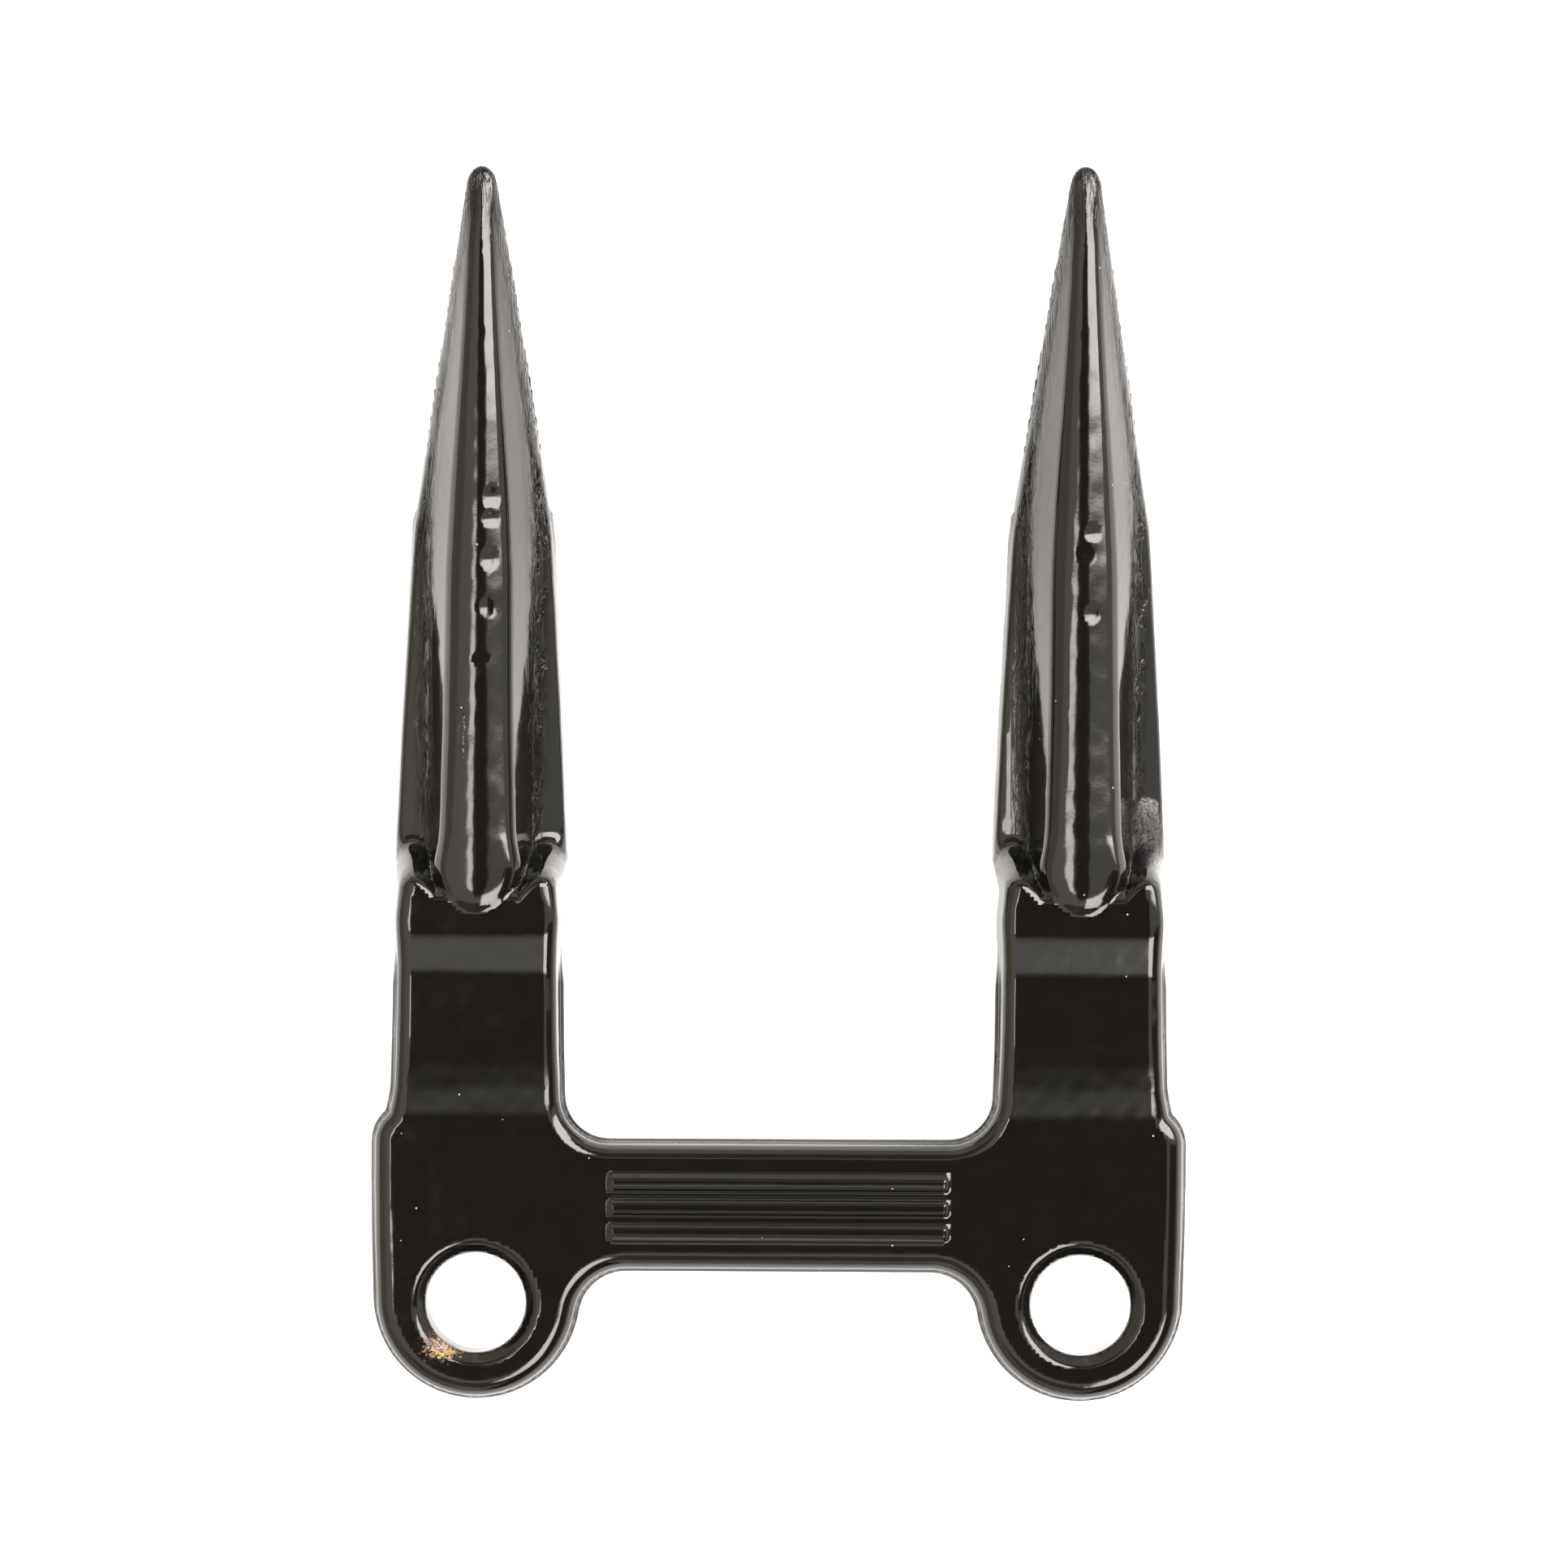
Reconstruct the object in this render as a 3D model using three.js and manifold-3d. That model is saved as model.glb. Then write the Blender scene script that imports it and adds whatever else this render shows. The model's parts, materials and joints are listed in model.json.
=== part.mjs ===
// Double knife guard for a mower or combine cutter bar: one lower forging with a bolting plate, two shanks
// and two pointed fingers, and two upper lips welded to the fingers' noses. The knife slides sideways
// between the lips and the ledger faces, and its back runs in the troughs across the shanks.
// Millimetres. +Y points forward to the finger tips, +X to the right, +Z out of the guard's underside. The
// origin is the middle of the bridge, on the seating face that bolts against the cutter bar.
import * as THREE from "three";
import { mergeVertices } from "three/addons/utils/BufferGeometryUtils.js";
import Module from "manifold-3d";

const wasm = await Module();
wasm.setup();

// Driving dimensions: bolting plate
const PITCH = 76.2; // finger to finger and bolt to bolt: one 3 inch knife section
const PLATE_T = 8;
const PLATE_EDGE_R = 1.6; // rounding of the plate's edges
const BRIDGE_W = 16.8;
const HOLE_Y = -12.2;
const HOLE_R = 6.3; // clears an M12 bolt
const HOLE_CHAMFER = 1.35;
const LUG_R = 13.1;
const LUG_Y = -11.5; // centre of the lug's round end
const LUG_SIDE = 13.4; // finger's axis to the lug's outer side
const SHOULDER_Y = 7.5; // the outer side steps in to the shank from here
const SHOULDER_END_Y = 13.5;
const REAR_FILLET_R = 5; // bridge to lug
const FRONT_FILLET_R = 6; // bridge to shank
const PLATE_FRONT_Y = 15.8;

// Driving dimensions: shanks
const SHANK_HALF = 10.9;
const SHANK_BACK_Y = 10; // inside the plate
const SHANK_SWELL_Y = 25.5; // the top has risen to SHANK_MID_Z here
const SHANK_MID_Z = 9;
const SHANK_TOP_Z = 9.5; // highest, just behind the step
const SHANK_EDGE_DROP = 3.3; // how far below the top its rounded edges start
const SHANK_EDGE_ROUND = 0.32;
const STEP_Y = 41.3; // the shank's top falls to the ledger flange from here
const STEP_END_Y = 45.8;
const STEP_FOOT_Z = -0.4;
const TROUGH_Z = 2.5; // floor of the knife-back trough
const TROUGH_BACK_Y = 19.3;
const TROUGH_FRONT_Y = 39.8;

// Driving dimensions: fingers and lips
const LEDGER_Z = -4.2; // the face that the knife sections slide on
const LEDGER_BACK_Y = 43.3;
const LEDGER_HALF = 11.3; // half width at the ledger's back
const LEDGER_TAPER = 0.051; // half width lost per millimetre
const FLANGE_END_Y = 85;
const FLANGE_T = 3.7;
const FLANGE_DRAFT = 0.035; // share of the half width that the flange loses up its side
const KEEL_FOOT = 6.45; // keel's half width where it meets the flange
const KEEL_SHARE = 0.745; // the same, as a share of the nose's half width
const KEEL_BACK_Y = 37;
const CREST_LINE = [[37, 9.9], [88, 8.7], [120, 7.6], [129.2, 7], [131.6, 5.4]]; // [y, z]
const NOSE_TAPER = 0.158;
const NOSE_END_HALF = 1.75; // half width at the tip, before its rounding
const TIP_Y = 131.6;
const TIP_R = 2.4;
const SEAT_Y = 90; // the lip's seat on the nose starts to rise here
const SEAT_RISE = 0.22;
const SLOT_H = 5.5;
const SLOT_FRONT_Y = 98;
const LIP_BACK_Y = 48;
const LIP_FRONT_Y = 125;
const LIP_HALVES = [[48, 5.6], [60, 6.6], [85, 7], [98, 7]]; // [y, half width]
// Lip's outer side, [y, z]
const LIP_OUTER = [[48, -13.6], [58, -15], [85, -15], [95, -13.3], [105, -9], [115, -3.2], [125, 1.6]];
const LIP_ROUND = 0.7;
const JOINT_GAP = 0.3; // between the forging, the lips and the weld beads
const BEAD_R = 0.9;
const BEAD_INSET = 0.8; // bead's centre line inside the nose's edge
const BEAD_BACK_Y = 95;
const BEAD_FRONT_Y = 120;

const STEPS = { arc: 10, arch: 12, hole: 40, bead: 10, nose: 10, beadLength: 6 };

// Looks
const forgedPaint = new THREE.MeshStandardMaterial({ color: 0x171716, roughness: 0.15, metalness: 0 });
const lipPaint = new THREE.MeshStandardMaterial({ color: 0x1c1c1b, roughness: 0.15, metalness: 0 });
const weldPaint = new THREE.MeshStandardMaterial({ color: 0x201f1d, roughness: 0.3, metalness: 0 });

// ---- Helpers

// Value at y of a line through [y, value] knots, level past both ends.
function along(knots, y) {
  const next = knots.findIndex(([knotY]) => knotY > y);
  if (next === 0) return knots[0][1];
  if (next < 0) return knots[knots.length - 1][1];
  const [y0, v0] = knots[next - 1];
  const [y1, v1] = knots[next];
  return v0 + ((v1 - v0) * (y - y0)) / (y1 - y0);
}

// The ends of a range and the points that divide it into equal steps.
function span(from, to, steps) {
  return Array.from({ length: steps + 1 }, (_, i) => from + ((to - from) * i) / steps);
}

// A rounded arch over a foot of half width foot, from right to left: round = 1 is an ellipse, less is boxier.
function arch(foot, baseZ, topZ, round) {
  return span(0, Math.PI, STEPS.arch).map((a) => {
    const [c, s] = [Math.cos(a), Math.sin(a)];
    return [foot * Math.sign(c) * Math.abs(c) ** round, baseZ + (topZ - baseZ) * Math.abs(s) ** round];
  });
}

// A closed body through cross sections {y, ring}, where each ring is a loop of as many [x, z] points.
function loft(sections) {
  const count = sections[0].ring.length;
  const positions = sections.flatMap(({ y, ring }) => ring.flatMap(([x, z]) => [x, y, z]));
  const index = [];
  for (let s = 0; s + 1 < sections.length; s++)
    for (let i = 0; i < count; i++) {
      const a = s * count + i;
      const b = s * count + ((i + 1) % count);
      index.push(a, a + count, b, b, a + count, b + count);
    }
  index.push(...endCap(sections[0].ring, 0, false));
  index.push(...endCap(sections[sections.length - 1].ring, (sections.length - 1) * count, true));
  const geometry = new THREE.BufferGeometry();
  geometry.setAttribute("position", new THREE.Float32BufferAttribute(positions, 3));
  geometry.setIndex(index);
  return geometry;
}

function endCap(ring, offset, front) {
  const outline = ring.map(([x, z]) => new THREE.Vector2(x, z));
  const triangles = THREE.ShapeUtils.triangulateShape(outline, []);
  return triangles.flatMap(([a, b, c]) => (front ? [a, c, b] : [a, b, c]).map((i) => i + offset));
}

function toSolid(geometry) {
  const bare = geometry.clone();
  bare.deleteAttribute("normal");
  bare.deleteAttribute("uv");
  const merged = mergeVertices(bare, 1e-4);
  const vertProperties = new Float32Array(merged.attributes.position.array);
  const triVerts = new Uint32Array(merged.index.array);
  return new wasm.Manifold(new wasm.Mesh({ numProp: 3, vertProperties, triVerts }));
}

function toMesh(name, solid, material) {
  const { vertProperties, triVerts } = solid.getMesh();
  const geometry = new THREE.BufferGeometry();
  geometry.setAttribute("position", new THREE.BufferAttribute(vertProperties, 3));
  geometry.setIndex(new THREE.BufferAttribute(triVerts, 1));
  geometry.computeVertexNormals();
  const mesh = new THREE.Mesh(geometry, material);
  mesh.name = name;
  return mesh;
}

// ---- Lines along a finger, as functions of y

// Half width of the finger's outline: the ledger's taper, then the nose's, then the round tip.
function edgeHalf(y) {
  const ledger = LEDGER_HALF - LEDGER_TAPER * (y - LEDGER_BACK_Y);
  const nose = NOSE_END_HALF + NOSE_TAPER * (TIP_Y - y);
  const past = Math.max(0, y - (TIP_Y - TIP_R)) / TIP_R;
  return Math.min(ledger, nose) * Math.sqrt(Math.max(1 - past ** 2, 0.02));
}

// Lower forging's far face: seating face, knife-back trough, ledger, then the lip's seat on the nose.
function farZ(y) {
  const back = [[PLATE_FRONT_Y, 0], [TROUGH_BACK_Y, TROUGH_Z], [TROUGH_FRONT_Y, TROUGH_Z]];
  return along([...back, [LEDGER_BACK_Y, LEDGER_Z], [SEAT_Y, LEDGER_Z], [TIP_Y, seatZ(TIP_Y)]], y);
}

function seatZ(y) {
  return LEDGER_Z + SEAT_RISE * Math.max(0, y - SEAT_Y);
}

// Height of the arch over the far face where the flange, or the nose's shoulder, turns into the keel.
function shoulderZ(y) {
  return farZ(y) + along([[FLANGE_END_Y, FLANGE_T], [102, 2.4], [TIP_Y, 1.2]], y);
}

// ---- Lower forging

function shankLoft() {
  const middle = [[SHANK_SWELL_Y, SHANK_MID_Z], [29.5, SHANK_MID_Z], [34.5, SHANK_TOP_Z]];
  const step = [[STEP_Y, SHANK_TOP_Z], [44.8, 1.5], [STEP_END_Y, STEP_FOOT_Z]];
  const topLine = [[SHANK_BACK_Y, PLATE_T - 0.1], ...middle, ...step];
  const trough = [PLATE_FRONT_Y, TROUGH_BACK_Y, TROUGH_FRONT_Y, LEDGER_BACK_Y];
  const ys = [...topLine.map(([y]) => y), ...trough].sort((a, b) => a - b);
  const sections = ys.map((y) => {
    const top = along(topLine, y);
    const foot = Math.max(farZ(y) + 0.8, top - SHANK_EDGE_DROP);
    const flat = [[-SHANK_HALF, farZ(y)], [SHANK_HALF, farZ(y)]];
    return { y, ring: [...flat, ...arch(SHANK_HALF - 0.15, foot, top, SHANK_EDGE_ROUND)] };
  });
  return toSolid(loft(sections));
}

function fingerLoft() {
  const nose = span(SEAT_Y, TIP_Y - TIP_R, STEPS.nose);
  const tip = [0.35, 0.65, 0.85, 1].map((f) => TIP_Y - TIP_R + f * TIP_R);
  const ys = [KEEL_BACK_Y, TROUGH_FRONT_Y, LEDGER_BACK_Y, 50, 60, 70, 80, FLANGE_END_Y, ...nose, ...tip];
  const sections = ys.map((y) => {
    const half = edgeHalf(y) - (y < LEDGER_BACK_Y ? 0.8 : 0);
    const foot = Math.min(KEEL_FOOT, KEEL_SHARE * half);
    const flat = [[-half, farZ(y)], [half, farZ(y)]];
    const shoulder = shoulderZ(y);
    const shoulderHalf = half * (1 - FLANGE_DRAFT);
    const keel = arch(foot, shoulder, along(CREST_LINE, y), along([[SEAT_Y, 0.6], [TIP_Y, 0.85]], y));
    return { y, ring: [...flat, [shoulderHalf, shoulder], ...keel, [-shoulderHalf, shoulder]] };
  });
  return toSolid(loft(sections));
}

// Right half of the plate's outline, from the middle of its rear edge round to the middle of its front edge.
function halfOutline() {
  const axisX = PITCH / 2;
  const rearY = -BRIDGE_W / 2;
  const filletY = rearY - REAR_FILLET_R;
  const filletX = axisX - Math.sqrt((LUG_R + REAR_FILLET_R) ** 2 - (LUG_Y - filletY) ** 2);
  const touch = Math.atan2(LUG_Y - filletY, axisX - filletX);
  const innerX = axisX - SHANK_HALF;
  const path = new THREE.Path();
  path.moveTo(0, rearY);
  path.absarc(filletX, filletY, REAR_FILLET_R, Math.PI / 2, touch, true);
  path.absarc(axisX, LUG_Y, LUG_R, touch + Math.PI, 2 * Math.PI, false);
  path.lineTo(axisX + LUG_SIDE, SHOULDER_Y - 3);
  path.lineTo(axisX + LUG_SIDE, SHOULDER_Y);
  path.quadraticCurveTo(axisX + LUG_SIDE - 0.5, SHOULDER_END_Y - 1, axisX + SHANK_HALF, SHOULDER_END_Y);
  path.lineTo(axisX + SHANK_HALF, PLATE_FRONT_Y);
  path.lineTo(innerX, PLATE_FRONT_Y);
  path.absarc(innerX - FRONT_FILLET_R, BRIDGE_W / 2 + FRONT_FILLET_R, FRONT_FILLET_R, 0, -Math.PI / 2, true);
  path.lineTo(0, BRIDGE_W / 2);
  return path.getPoints(STEPS.arc);
}

function plateSolid() {
  const right = halfOutline();
  const left = right.slice(1, -1).map(({ x, y }) => new THREE.Vector2(-x, y)).reverse();
  const geometry = new THREE.ExtrudeGeometry(new THREE.Shape([...right, ...left]), {
    depth: PLATE_T - 2 * PLATE_EDGE_R,
    bevelThickness: PLATE_EDGE_R,
    bevelSize: PLATE_EDGE_R,
    bevelOffset: -PLATE_EDGE_R,
    bevelSegments: 3,
  });
  geometry.translate(0, 0, PLATE_EDGE_R);
  return toSolid(geometry);
}

// Bolt hole and its chamfer on the underside.
function holeCutter() {
  const over = 1;
  const rim = HOLE_R + HOLE_CHAMFER + over;
  const profile = [[0, -over], [HOLE_R, -over], [HOLE_R, PLATE_T - HOLE_CHAMFER], [rim, PLATE_T + over]];
  profile.push([0, PLATE_T + over]);
  const geometry = new THREE.LatheGeometry(profile.map(([r, z]) => new THREE.Vector2(r, z)), STEPS.hole);
  geometry.rotateX(Math.PI / 2);
  return toSolid(geometry).translate([0, HOLE_Y, 0]);
}

// ---- Upper lip and its weld beads

function lipSolid() {
  const open = [LIP_BACK_Y, 50, 54, 60, 70, 80, 88, SLOT_FRONT_Y - 2];
  const seated = [SLOT_FRONT_Y, 101, 105, 110, 115, 120, LIP_FRONT_Y];
  const sections = [...open, ...seated].map((y) => {
    const half = Math.min(along(LIP_HALVES, y), edgeHalf(y));
    const inner = y < SLOT_FRONT_Y ? LEDGER_Z - SLOT_H : seatZ(y) - JOINT_GAP;
    return { y, ring: arch(half, inner, along(LIP_OUTER, y), LIP_ROUND).reverse() };
  });
  return toSolid(loft(sections));
}

// Bead along the seam on the right side of the nose, grown by grow for the groove that it lies in.
function beadSolid(grow) {
  const sections = span(BEAD_BACK_Y - grow, BEAD_FRONT_Y + grow, STEPS.beadLength).map((y) => {
    const centre = [edgeHalf(y) - BEAD_INSET, seatZ(y) - JOINT_GAP / 2];
    const angles = span(0, 2 * Math.PI, STEPS.bead).slice(0, -1);
    const ring = angles.map((a) => [
      centre[0] + (BEAD_R + grow) * Math.cos(a),
      centre[1] + (BEAD_R + grow) * Math.sin(a),
    ]);
    return { y, ring };
  });
  return toSolid(loft(sections));
}

// ---- Assembly

function build() {
  const group = new THREE.Group();
  const bead = beadSolid(0);
  const groove = beadSolid(JOINT_GAP);
  const grooves = groove.add(groove.mirror([1, 0, 0]));
  const finger = shankLoft().add(fingerLoft()).subtract(grooves);
  const lip = lipSolid().subtract(grooves);
  let forging = plateSolid();
  for (const [side, x] of [["left", -PITCH / 2], ["right", PITCH / 2]]) {
    const place = [x, 0, 0];
    forging = forging.add(finger.translate(place)).subtract(holeCutter().translate(place));
    group.add(toMesh(`lip_${side}`, lip.translate(place), lipPaint));
    const [rightOf, leftOf] = side === "left" ? ["inner", "outer"] : ["outer", "inner"];
    group.add(toMesh(`weld_${side}_${rightOf}`, bead.translate(place), weldPaint));
    group.add(toMesh(`weld_${side}_${leftOf}`, bead.mirror([1, 0, 0]).translate(place), weldPaint));
  }
  group.add(toMesh("guard_body", forging, forgedPaint));
  return group;
}

export default build();
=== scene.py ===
# Double knife guard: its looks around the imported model. Lengths are in millimetres until a mesh is made.
import json
import math

import bpy
import numpy as np
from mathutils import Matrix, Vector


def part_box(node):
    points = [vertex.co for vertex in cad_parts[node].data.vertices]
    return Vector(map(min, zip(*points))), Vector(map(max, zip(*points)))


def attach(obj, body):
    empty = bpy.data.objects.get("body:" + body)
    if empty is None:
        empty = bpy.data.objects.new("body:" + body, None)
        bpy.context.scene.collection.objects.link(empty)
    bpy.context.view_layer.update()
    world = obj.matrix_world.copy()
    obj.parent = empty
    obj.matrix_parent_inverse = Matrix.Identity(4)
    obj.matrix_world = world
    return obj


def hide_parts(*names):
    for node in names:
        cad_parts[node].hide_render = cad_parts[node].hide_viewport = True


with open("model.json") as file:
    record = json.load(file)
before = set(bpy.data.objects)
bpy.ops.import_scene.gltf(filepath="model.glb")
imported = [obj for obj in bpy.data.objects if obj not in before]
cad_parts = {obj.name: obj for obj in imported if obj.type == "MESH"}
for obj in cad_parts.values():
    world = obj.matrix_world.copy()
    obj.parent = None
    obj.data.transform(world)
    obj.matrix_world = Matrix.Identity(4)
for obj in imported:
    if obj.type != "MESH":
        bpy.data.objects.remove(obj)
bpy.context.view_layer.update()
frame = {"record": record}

MM = 0.001


# ---- Sizes, read from the frame

def in_mm(vector):
    return [c / MM for c in vector]


mounts = {m["name"]: in_mm(m["pos_m"]) for m in frame["record"]["mounts"]}
body_low, body_high = (in_mm(corner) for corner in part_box("guard_body"))
lip_low, lip_high = (in_mm(corner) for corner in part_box("lip_right"))

AXIS_X = mounts["right_ledger"][0]
PLATE_T = mounts["right_washer_face"][2]
LEDGER_Z = mounts["right_ledger"][2]
TROUGH_Z = mounts["right_knife_back_face"][2]
TIP_Y = body_high[1]
HALF_WIDTH = body_high[0]
LIP_BACK_Y, LIP_FRONT_Y = lip_low[1], lip_high[1]
LIP_OUTER_Z = lip_low[2]
FLOOR_Z = LIP_OUTER_Z - 0.05  # just clear of the lips, so that no faces coincide

BRIDGE_W = 16.8
HOLE_Y = -12.2
HOLE_R = 6.3
CHAMFER = 1.35
LUG_Y = HOLE_Y + 0.7  # the lug's round end is centred a little in front of the hole
LUG_R = LUG_Y - body_low[1]
PARTING_Z = 3.5  # height of the parting line round the plate
FLASH = 0.35  # how far the forging's flash stands out along the parting line
FLANGE_Z = LEDGER_Z + 3.7
FLANGE_TILT = 0.12  # the flange falls outwards at this slope
TIP_R = 2.4
SLOT_FRONT_Y = 97.5
SLOT_H = 5.5
SEAT_Y = 90  # the far side rises towards the tip from here
SEAT_RISE = 0.22  # at this slope
SEAM_GAP = 0.12  # left open between nose and lip


# ---- Distance field helpers: negative inside, positive outside

def join(a, b, r):
    """Union with a fillet of radius r in the valley."""
    return np.maximum(r, np.minimum(a, b)) - np.hypot(np.maximum(r - a, 0), np.maximum(r - b, 0))


def meet(a, b, r):
    """Intersection with the edge rounded to radius r."""
    return np.minimum(-r, np.maximum(a, b)) + np.hypot(np.maximum(r + a, 0), np.maximum(r + b, 0))


def cut(a, b, r):
    """a without b, with the edge rounded to radius r."""
    return meet(a, -b, r)


def profile(knots, soft):
    """A line through (y, value) knots as a function of y, its corners softened over a length."""
    ys, values = np.array(knots, float).T
    shifts = np.linspace(-soft / 2, soft / 2, 9)
    return lambda y: sum(np.interp(y + s, ys, values) for s in shifts) / len(shifts)


def height(line, y):
    """Value and slope factor of a side line, which turns a height difference into a distance."""
    slope = (line(y + 0.05) - line(y - 0.05)) / 0.1
    return line(y), 1 / np.sqrt(1 + slope**2)


def outline_distance(x, y, points):
    """Signed distance in plan to the closed shape whose half outline runs through points, for x >= 0."""
    best = np.full(np.broadcast(x, y).shape, 1e9)
    inside = np.zeros(best.shape, bool)
    for (ax, ay), (bx, by) in zip(points[:-1], points[1:]):
        ex, ey = bx - ax, by - ay
        t = np.clip(((x - ax) * ex + (y - ay) * ey) / (ex * ex + ey * ey), 0, 1)
        best = np.minimum(best, (x - ax - t * ex) ** 2 + (y - ay - t * ey) ** 2)
        if ay != by:
            spans = (ay > y) != (by > y)
            inside ^= spans & (x < ax + (y - ay) * ex / ey)
    return np.sqrt(best) * np.where(inside, -1, 1)


def ripple(x, y, z, wavelength, seed):
    """Smooth waviness between about -1 and 1: a few sine waves in scattered directions."""
    rng = np.random.default_rng(seed)
    total = 0.0
    waves = 7
    for _ in range(waves):
        direction = rng.normal(size=3)
        direction *= 2 * math.pi / (wavelength * rng.uniform(0.7, 1.5)) / np.linalg.norm(direction)
        phase = rng.uniform(0, 2 * math.pi)
        total = total + np.sin(direction[0] * x + direction[1] * y + direction[2] * z + phase)
    return total / math.sqrt(waves)


def bump(t):
    """A soft hill: 1 at t = 0, 0 from t = 1 on."""
    return np.clip(1 - t * t, 0, 1) ** 2


# ---- Meshing

def surface_net(field, low, high, step):
    """Quads and rough vertices of field(x, y, z) = 0 inside a box."""
    axes = [np.arange(a, b + step, step) for a, b in zip(low, high)]
    values = field(axes[0][:, None, None], axes[1][None, :, None], axes[2][None, None, :])
    cells = tuple(n - 1 for n in values.shape)
    count, total = np.zeros(cells), np.zeros(cells + (3,))
    edges = []
    for axis in range(3):
        a = np.delete(values, -1, axis)
        b = np.delete(values, 0, axis)
        crossing = (a < 0) != (b < 0)
        share = np.where(crossing, a / np.where(crossing, a - b, 1), 0)
        others = [i for i in range(3) if i != axis]
        for d0 in (0, 1):
            for d1 in (0, 1):
                window = [slice(None)] * 3
                window[others[0]] = slice(d0, d0 + cells[others[0]])
                window[others[1]] = slice(d1, d1 + cells[others[1]])
                hit = crossing[tuple(window)]
                count += hit
                total[..., axis] += share[tuple(window)]
                total[..., others[0]] += hit * d0
                total[..., others[1]] += hit * d1
        edges.append((axis, crossing, a < 0))
    active = count > 0
    number = np.full(cells, -1)
    number[active] = np.arange(active.sum())
    corner = np.argwhere(active)
    points = (corner + total[active] / count[active][:, None]) * step + [a[0] for a in axes]
    quads = [net_quads(number, *edge) for edge in edges]
    return points, np.concatenate(quads)


def net_quads(number, axis, crossing, low_inside):
    """The quad round every grid edge along axis that the surface crosses, facing outwards."""
    b, c = (axis + 1) % 3, (axis + 2) % 3
    at = np.argwhere(crossing)
    at = at[(at[:, b] > 0) & (at[:, c] > 0)]
    at = at[(at[:, b] < number.shape[b]) & (at[:, c] < number.shape[c])]
    ring = []
    for back_b, back_c in ((1, 1), (0, 1), (0, 0), (1, 0)):
        cell = at.copy()
        cell[:, b] -= back_b
        cell[:, c] -= back_c
        ring.append(number[tuple(cell.T)])
    quads = np.stack(ring, axis=1)
    outward = low_inside[tuple(at.T)]
    return np.where(outward[:, None], quads, quads[:, ::-1])


def gradient(field, p, h=0.01):
    return np.stack([(field(*(p + e).T) - field(*(p - e).T)) / (2 * h) for e in np.eye(3) * h], axis=1)


def field_mesh(name, field, low, high, step, marks=None):
    """A smooth closed piece from a distance field: its vertices lie on the surface, with its true normals.

    marks gives values to store at the vertices for the materials, as functions of place.
    """
    points, quads = surface_net(field, low, high, step)
    for _ in range(3):
        slope = gradient(field, points)
        size = np.maximum((slope**2).sum(1), 0.25)
        move = np.clip(field(*points.T) / size, -step / 3, step / 3)
        points -= move[:, None] * slope
    slope = gradient(field, points)
    normals = slope / np.maximum(np.linalg.norm(slope, axis=1), 1e-6)[:, None]
    mesh = bpy.data.meshes.new(name)
    mesh.from_pydata(points * MM, [], quads)
    mesh.shade_smooth()
    mesh.normals_split_custom_set_from_vertices(normals)
    for mark, function in (marks or {}).items():
        mesh.attributes.new(mark, "FLOAT", "POINT").data.foreach_set("value", function(*points.T))
    piece = bpy.data.objects.new(name, mesh)
    bpy.context.scene.collection.objects.link(piece)
    return piece


# ---- Lines along the guard, as functions of y

side_half = profile([(13, 11.1), (20.7, 10.9), (33, 10.75), (40.3, 10.85), (45.2, 11.1)], 3)
ledger_half = profile([(45.2, 11.1), (60.3, 10.45), (75.2, 9.65), (85.2, 9.1), (88, 8.8)], 3)
# The keel's half width at its foot and at its crown
foot_half = profile([(42, 6.9), (46, 6.5), (60, 6.8), (80, 7.1), (88, 7.0), (95, 6.6), (108, 5.0),
                     (120, 3.4), (TIP_Y, 1.9)], 4)
crown_half = profile([(42, 5.5), (46, 4.5), (60, 3.95), (80, 3.6), (87, 3.25), (95, 2.85), (108, 2.15),
                      (120, 1.6), (TIP_Y, 0.9)], 4)
NOSE_SLOPE = 0.158
NOSE_END_HALF = 1.7


def finger_half(y):
    """Half width of a finger's outline at its widest."""
    nose = NOSE_END_HALF + NOSE_SLOPE * (TIP_Y - y)
    straight = np.where(y < 45.2, side_half(y), ledger_half(y))
    half = np.where(y < 87, straight, np.minimum(straight, nose))
    past = np.clip((y - TIP_Y + TIP_R) / TIP_R, 0, 1)
    return half * np.sqrt(1 - past**2)


def seat_z(y):
    return LEDGER_Z + SEAT_RISE * np.maximum(y - SEAT_Y, 0)


seat_end = (TIP_Y + 5, float(seat_z(TIP_Y + 5)))
top_line = profile(
    [(-40, PLATE_T), (11.3, PLATE_T), (15, PLATE_T + 0.34), (18, PLATE_T + 0.54), (21.5, PLATE_T + 0.67),
     (25.3, PLATE_T + 0.72), (29.4, PLATE_T + 0.72), (34.2, 9.5), (41.0, 9.5),
     (42.2, 8.3), (45.2, 0.2), (46.4, FLANGE_Z), (85, FLANGE_Z), (95, -0.5), (102, 0.2), (112, 1.9),
     (122, 3.9), (TIP_Y, 5.6)], 1.2)
far_line = profile(
    [(-40, 0), (15.8, 0), (19.3, TROUGH_Z), (39.8, TROUGH_Z), (43.3, LEDGER_Z), (SEAT_Y, LEDGER_Z),
     seat_end], 0.6)
crest_line = profile([(30, 10.2), (44, 10.2), (60, 9.5), (88, 8.7), (100, 8.3), (120, 7.4), (127.5, 7.0),
                      (130, 6.4), (TIP_Y + 1, 4.8)], 3)
parting_line = profile([(-40, PARTING_Z), (36, PARTING_Z), (44, LEDGER_Z), (SEAT_Y, LEDGER_Z), seat_end], 3)
draft_line = profile([(-40, 0.09), (10, 0.09), (20, 0.12), (46, 0.12), (85, 0.14), (100, 0.2),
                      (TIP_Y, 0.3)], 3)
edge_radius = profile([(-40, 2.0), (8, 2.0), (16, 1.5), (38, 1.5), (43, 2.4), (47, 0.7), (85, 0.7),
                       (92, 1.0), (125, 1.0), (TIP_Y, 0.8)], 2)


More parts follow.
